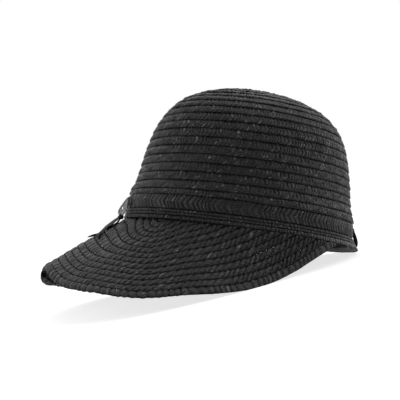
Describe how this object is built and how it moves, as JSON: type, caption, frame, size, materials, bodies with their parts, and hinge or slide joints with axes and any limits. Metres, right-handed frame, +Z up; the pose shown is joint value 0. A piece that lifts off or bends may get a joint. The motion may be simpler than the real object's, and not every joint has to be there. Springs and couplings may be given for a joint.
{
  "type": "straw cap",
  "caption": "Black straw cap with a deep round crown of sewn braid, a woven band round its foot, a drooping braided peak and a small ribbon bow at the front.",
  "frame": {"origin": "middle of the plan of the cap as it stands, on the surface it stands on", "axes": "+Z up, the peak points to -Y, +X is the wearer's left"},
  "size_m": [0.2324, 0.2832, 0.1655],
  "materials": {
    "crown_straw": "black sewn straw braid, satin sheen at grazing angles",
    "peak_straw": "black twisted straw braid, satin",
    "band_straw": "black herringbone straw braid, satin",
    "ribbon": "black satin ribbon, glossy"
  },
  "bodies": {
    "root": {"crown": "crown_straw", "foot_row": "crown_straw", "peak": "peak_straw", "hatband": "band_straw", "band_keeper": "band_straw", "bow_knot": "ribbon", "bow_loop_upper": "ribbon", "bow_loop_lower": "ribbon", "bow_tail_near": "ribbon", "bow_tail_far": "ribbon"}
  },
  "joints": []
}
